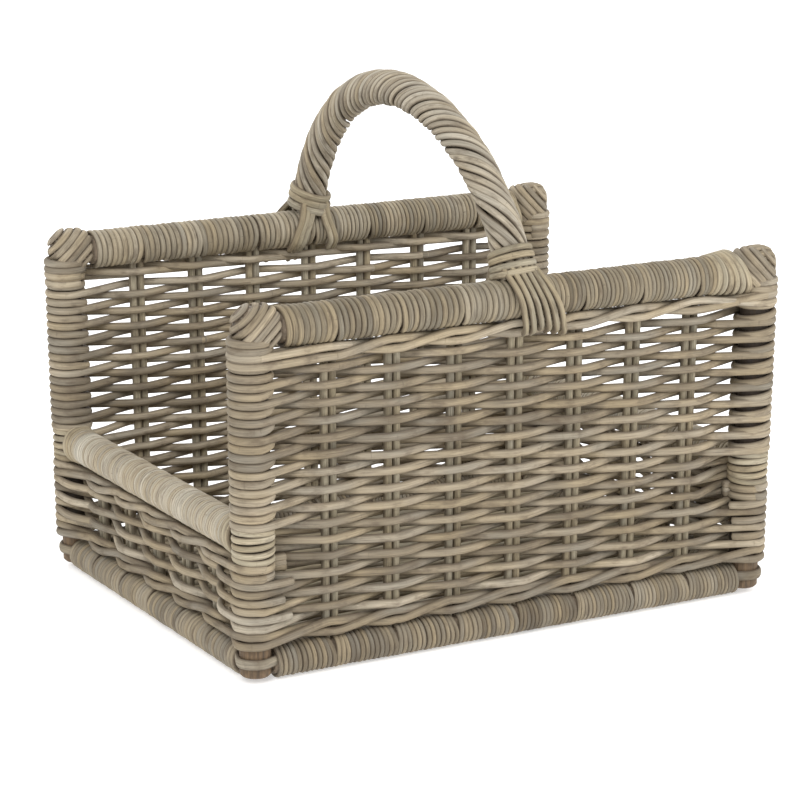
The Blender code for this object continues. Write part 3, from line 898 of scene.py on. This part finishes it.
def lay_loops(canes, centre, long, radius, step, strand, last):
    """Parallel loops where planes across step cut the rounded end of the rail."""
    across = unit(np.cross(step, np.array([0, 0, 1.0])))
    lie = np.cross(step, across)
    angle = full_turn(48)
    ray = np.outer(np.cos(angle), lie) + np.outer(np.sin(angle), across)
    for i in range(-last, last + 1):
        origin = step * (i * strand * 1.86)
        # Halving finds where each ray leaves the rounded end
        near, far = np.zeros(len(angle)), np.full(len(angle), 0.08)
        for _ in range(30):
            mid = (near + far) / 2
            p = origin + ray * mid[:, None]
            round_part = (np.abs(p[:, 1:]) ** KNOT_ROUND).sum(1) ** (1 / KNOT_ROUND)
            inside = (np.abs(p[:, 0] / (long - strand)) ** KNOT_POWER
                      + (round_part / (radius - strand)) ** KNOT_POWER) < 1
            near = np.where(inside, mid, near)
            far = np.where(inside, far, mid)
        p = origin + ray * near[:, None]
        if near.max() < 0.008:
            continue
        canes.add(p + centre, unit(p), strand * RNG.uniform(0.98, 1.05), strand * 0.5,
                  some_tone(0.55, 0.2), closed=True)


# ---------------------------------------------------------------- handle

HANDLE_POWER = 1.15
HANDLE_SKEW = 0.0180
HANDLE_RISE = span("handle_core")[1][2] - half_size("handle_core")[0] - TOP_Z
HANDLE_STRANDS = 11
TOP_Y = middle("top_wrap_far")[1]
WRAP_R = half_size("handle_wrap_near")[0]


def handle_point(theta):
    s = np.sin(theta)
    return np.array([0.0, HANDLE_SKEW * s * s - TOP_Y * np.cos(theta),
                     TOP_Z + HANDLE_RISE * max(s, 0.0) ** HANDLE_POWER])


def arch(count=400):
    """Points, tangents and outward directions along the arch, and its length so far."""
    p = np.array([handle_point(t) for t in np.linspace(0.06, math.pi - 0.06, count)])
    tangent = unit(np.gradient(p, axis=0))
    outward = np.cross(tangent, (1.0, 0, 0))
    length = np.concatenate([[0.0], np.cumsum(np.linalg.norm(np.diff(p, axis=0), axis=1))])
    return p, tangent, outward, length


def twist_angle(t):
    """Angle between a handle cane and the handle, in degrees, from near foot to far foot."""
    return np.interp(t, (0.0, 0.12, 0.35, 0.55, 0.8, 1.0), (30, 33, 42, 47, 38, 30))


def handle_wrap():
    """Canes that twist round the whole arch side by side."""
    p, _, outward, length = arch()
    thick = 0.0024
    centre_r = WRAP_R - thick
    t = length / length[-1]
    rate = np.tan(np.radians(twist_angle(t))) / centre_r
    turn = np.concatenate([[0.0], np.cumsum((rate[1:] + rate[:-1]) / 2 * np.diff(length))])
    spacing = 2 * math.pi * centre_r * np.cos(np.radians(twist_angle(t))) / HANDLE_STRANDS
    keep = np.where(p[:, 2] > TOP_Z + TOP_R - 0.001)[0]
    canes = Canes("handle_canes", "handle_cane", ["handle_wrap_near", "handle_wrap_far"], 12)
    for strand in range(HANDLE_STRANDS):
        phase = 2 * math.pi * strand / HANDLE_STRANDS + RNG.uniform(-0.05, 0.05)
        wander = 0.07 * np.sin(length * RNG.uniform(14, 26) + RNG.uniform(0, 6))
        psi = phase + wander - turn
        direction = np.outer(np.cos(psi), (1.0, 0, 0)) + outward * np.sin(psi)[:, None]
        lift = 0.0004 * np.sin(length * RNG.uniform(20, 40) + RNG.uniform(0, 6))
        points = p + direction * (centre_r + lift)[:, None]
        wide = spacing[keep] / 2 * RNG.uniform(0.96, 1.05)
        canes.add(points[keep], direction[keep], wide, thick, some_tone(0.6, 0.22))
    canes.make()


def collar_and_fan(side, sy):
    """The canes lashed round the foot of the handle and fanned down over its rail."""
    canes = Canes(f"lashing_canes_{side}", "lashing_cane", [f"lashing_{side}"], 12)
    p, tangent, outward, _ = arch()
    order = range(len(p)) if sy < 0 else range(len(p) - 1, -1, -1)
    turns, strand, slopes = (4, 0.0029, (0.07, 0.10)) if sy < 0 else (3, 0.0037, (0.30, 0.42))
    for turn in range(turns):
        z = TOP_Z + TOP_R + 0.0035 + turn * strand * 1.9
        i = next(k for k in order if p[k][2] > z)
        angle = full_turn(40) + RNG.uniform(0, 1)
        slope = RNG.uniform(*slopes) * 0.8
        reach = WRAP_R + 0.0018 + RNG.uniform(0, 0.0004) - 0.0004 * turn
        away = reach * (np.outer(np.cos(angle), tangent[i] * slope + (1.06, 0, 0))
                        + np.outer(np.sin(angle), outward[i]))
        canes.add(p[i] + away, away, strand * RNG.uniform(0.97, 1.06), 0.0021, some_tone(0.5),
                  closed=True)
    fan(canes, sy)
    hooks(canes, sy)
    canes.make()


def fan(canes, sy):
    """Canes of the handle that run down over the outward side of the rail into the weaving."""
    count = 6
    spacing = 0.0057
    clear = TOP_R + 0.0030
    wall = 0.0115
    for k in range(count):
        spot = k - (count - 1) / 2
        length = RNG.uniform(0.0215, 0.0255) + 0.0006 * k
        start = math.sqrt((WRAP_R + 0.0010) ** 2 - (spot * spacing) ** 2) - 0.0065
        # Each is (out from the rail's axis, up from it, share of the way down)
        rows = ((start, TOP_R + 0.0125, 0.0), (clear * 0.92, TOP_R * 0.62, 0.36),
                (clear + 0.0006, 0.0, 0.57), (clear - 0.0012, -TOP_R * 0.55, 0.76),
                (wall + 0.0052, -length * 0.80, 0.91), (wall + 0.0018, -length, 1.0),
                (wall - 0.0050, -length - 0.0035, 1.04))
        controls = [[-sy * (spot * (spacing + 0.0018 * t) + 0.0210 * t - 0.0010),
                     sy * (TOP_Y + out), TOP_Z + up] for out, up, t in rows]
        width = 0.0025 * RNG.uniform(0.92, 1.08)
        canes.add(smooth(controls, 0.003), (0.0, sy, 0.35), width, 0.0027, some_tone(0.52))


def hooks(canes, sy):
    """Canes that hook down over the inner side of the rail, spread like an inverted V."""
    clear = TOP_R + 0.0028
    for spot in (-2.5, -1.5, -0.5, 1.0, 2.0):
        spread = 0.0105 if spot > 0 else -0.0130
        rows = ((WRAP_R + 0.0010, TOP_R + 0.0090, 0.0), (clear * 0.96, TOP_R * 0.55, 0.3),
                (clear, -0.001, 0.65), (clear - 0.0010, -TOP_R * 0.6, 0.9),
                (clear * 0.55, -TOP_R - 0.0015, 1.0))
        controls = [[spot * 0.0048 + spread * t, sy * (TOP_Y - out), TOP_Z + up]
                    for out, up, t in rows]
        width = 0.0031 * RNG.uniform(0.94, 1.06)
        canes.add(smooth(controls, 0.003), (0.0, -sy, 0.35), width, 0.0028, some_tone(0.48))


# ---------------------------------------------------------------- corners and floor


def end_rail_lashing(side, end, sx, sy):
    """Thin canes that tie the end rail to its post, and the loops round the rail's end."""
    canes = Canes(f"end_lashing_{side}_{end}", "lashing_cane", [], 10)
    strand = 0.0028
    reach = POST_R + strand * 0.8
    for turn in range(5):
        z = END_Z - 0.0130 + turn * strand * 1.97
        controls = [post_row(sx, sy, (math.cos(angle), math.sin(angle)),
                             z + 0.0012 * math.sin(angle + turn), reach, 0.85)
                    for angle in np.linspace(0, 2 * math.pi, 31)]
        draw(canes, controls, strand * RNG.uniform(0.94, 1.05), some_tone(0.55), 0.003)
    angle = full_turn(36)
    for turn in range(3):
        y = sy * (HALF_Y + lean(END_Z) - POST_R - 0.0045 - turn * strand * 1.85)
        centre = np.array([sx * (HALF_X + lean(END_Z)), y, END_Z])
        radius = END_R - 0.0005 - turn * 0.0004
        away = np.outer(np.cos(angle), (radius, 0, 0)) + np.outer(np.sin(angle), (0, 0.0016, radius))
        canes.add(centre + away, away, strand, strand * 0.9, some_tone(0.6), closed=True)
    canes.make()


def foot_band(side, end, sx, sy):
    """One cane round the foot of a post, from under one base wrap to under the other."""
    canes = Canes(f"foot_band_{side}_{end}", "base_cane", [], 10)
    reach = POST_R + 0.0016
    tuck = 0.020
    flat = 0.45
    level = BASE_Z + 0.0030
    controls = [[sx * (HALF_X - tuck), sy * (HALF_Y + reach - 0.0075), level, 0, sy, flat]]
    for angle in np.linspace(math.pi / 2, 0, 9):
        x, y = sx * math.cos(angle), sy * math.sin(angle)
        controls.append([sx * HALF_X + x * reach, sy * HALF_Y + y * reach, level, x, y, flat])
    controls.append([sx * (HALF_X + reach - 0.0075), sy * (HALF_Y - tuck), level, sx, 0, flat])
    draw(canes, controls, 0.0044, some_tone(0.55), 0.003)
    canes.make()


def floor_weave():
    """Canes along the floor, over and under its bars and the base rails' inner sides."""
    low, high = span("floor_weave")
    canes = Canes("floor_canes", "floor_cane", ["floor_weave"], 8)
    bars = sorted(middle(node)[0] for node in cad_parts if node.startswith("floor_bar"))
    bar_r = half_size("floor_bar_1")[0]
    pitch = 0.0072
    rows = int((high[1] - low[1]) / pitch)
    pitch = (high[1] - low[1]) / rows
    stops = [low[0] - 0.004, *bars, high[0] + 0.004]
    for row in range(rows):
        y = low[1] + pitch * (row + 0.5)
        radius = pitch / 2 * RNG.uniform(0.93, 1.03)
        controls = []
        for i, x in enumerate(stops):
            edge = i in (0, len(stops) - 1)
            sign = 1 if (i + row) % 2 else -1
            lift = 0.0 if edge else sign * (bar_r + radius * 0.4) * 0.55
            for t in (0.0,) if edge else (-0.004, 0.0, 0.004):
                controls.append([x + t, y + RNG.uniform(-0.0003, 0.0003), BASE_Z + lift])
        canes.add(smooth(controls, 0.008), (0, 0, 1), radius, radius * 0.9, some_tone(0.5))
    canes.make()


# ---------------------------------------------------------------- assembly

camera = bpy.data.objects.new("camera", bpy.data.cameras.new("camera"))
bpy.context.collection.objects.link(camera)
camera.location = CAMERA_PLACE
camera.rotation_euler = (math.radians(90 - CAMERA_PITCH_DEG), 0.0,
                         -math.radians(CAMERA_HEADING_DEG))
camera.data.lens = CAMERA_LENS_MM
camera.data.clip_start = 0.05
camera.data.clip_end = 50.0
bpy.context.scene.camera = camera

lower_weave().make()
for side, sy in SIDES.items():
    upper_weave(side, sy).make()
    for i, x in enumerate(SIDE_STAKES, 1):
        node = f"stake_{side}_{i}"
        stake_canes(node, x / (1 + lean(middle(node)[2]) / HALF_X), sy * HALF_Y, "x", BASE_Z, TOP_Z)
for end, sx in ENDS.items():
    for i, y in enumerate(END_STAKES, 1):
        node = f"stake_{end}_{i}"
        stake_canes(node, sx * HALF_X, y / (1 + lean(middle(node)[2]) / HALF_Y), "y", BASE_Z, END_Z)

LINED = 0.0034  # from a rail's outside in to the lining of its coarser wraps
for side, sy in SIDES.items():
    centre = np.array([0, middle(f"top_wrap_{side}")[1], TOP_Z])
    # The far top rail gets paler tones than the near one: painted light, for the back light falling
    # on it
    wrapped_rail("top", side, "rail_cane", centre, TOP_R + 0.0006, TOP_R - LINED,
                 (0.0027,) * 4 + (0.0021,) * 4, (0.28, 0.55) if sy < 0 else (0.85, 0.85), SIDE_STAKES)
    centre = np.array([0, sy * HALF_Y, BASE_Z])
    wrapped_rail("base", side, "base_cane", centre, BASE_R, BASE_R - 0.0032,
                 (0.0023,) * 4 + (0.0020,) * 4, (0.25, 0.4), SIDE_STAKES, 0.0015, 1.0)
for end, sx in ENDS.items():
    centre = np.array([sx * HALF_X, 0, BASE_Z])
    wrapped_rail("base", end, "base_cane", centre, BASE_R, BASE_R - LINED,
                 (0.0031,), (0.5, 0.5), END_STAKES, 0.0015, 1.0)
    centre = np.array([middle(f"end_wrap_{end}")[0], 0, END_Z])
    wrapped_rail("end", end, "end_rail_cane", centre, END_R + 0.0003, END_R - 0.0028,
                 (0.0019,), (0.6, 0.6))

for side, sy in SIDES.items():
    rail_neck(side, sy)
    for end, sx in ENDS.items():
        knot(side, end, sx)
        end_rail_lashing(side, end, sx, sy)
        foot_band(side, end, sx, sy)
    collar_and_fan(side, sy)
handle_wrap()
floor_weave()

for name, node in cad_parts.items():
    if name.startswith("post_"):
        node.data.materials[0] = MATERIALS["peeled_pole"]
    elif "core" in name or name.startswith("floor_bar"):
        node.data.materials[0] = MATERIALS["core_pole"]

# ---------------------------------------------------------------- stage


def stage_material():
    n = Nodes("pale_floor")
    n.shader.inputs["Base Color"].default_value = (0.86, 0.86, 0.86, 1.0)
    n.shader.inputs["Roughness"].default_value = 0.9
    n.shader.inputs["Emission Color"].default_value = (1.0, 1.0, 1.0, 1.0)
    n.shader.inputs["Emission Strength"].default_value = 0.45
    return n.material


floor_mesh = bpy.data.meshes.new("floor")
floor_mesh.from_pydata([(-30, -30, 0), (30, -30, 0), (30, 30, 0), (-30, 30, 0)], [], [(0, 1, 2, 3)])
floor_mesh.materials.append(stage_material())
floor = bpy.data.objects.new("floor", floor_mesh)
bpy.context.collection.objects.link(floor)
floor.location.z = CAD_BOX[0][2] - 0.0005

world = bpy.data.worlds.new("studio")
bpy.context.scene.world = world
bpy.context.scene.view_settings.view_transform = "Standard"
world.use_nodes = True
world.node_tree.nodes["Background"].inputs["Color"].default_value = (1.0, 1.0, 1.0, 1.0)
world.node_tree.nodes["Background"].inputs["Strength"].default_value = 0.72


def soft_light(name, place, target, size, power):
    data = bpy.data.lights.new(name, "AREA")
    data.size = size
    data.energy = power
    light = bpy.data.objects.new(name, data)
    bpy.context.collection.objects.link(light)
    light.location = place
    aim = np.array(target) - np.array(place)
    heading = math.atan2(aim[1], aim[0])
    pitch = math.asin(aim[2] / np.linalg.norm(aim))
    light.rotation_euler = (math.pi / 2 + pitch, 0.0, heading - math.pi / 2)


soft_light("key", (-1.8, -2.2, 2.4), (0, 0, 0.15), 1.6, 54)
soft_light("fill", (2.4, -1.6, 1.6), (0, 0, 0.15), 2.0, 34)
soft_light("back", (0.6, 2.6, 2.2), (0, 0, 0.2), 2.0, 52)

bpy.context.view_layer.update()
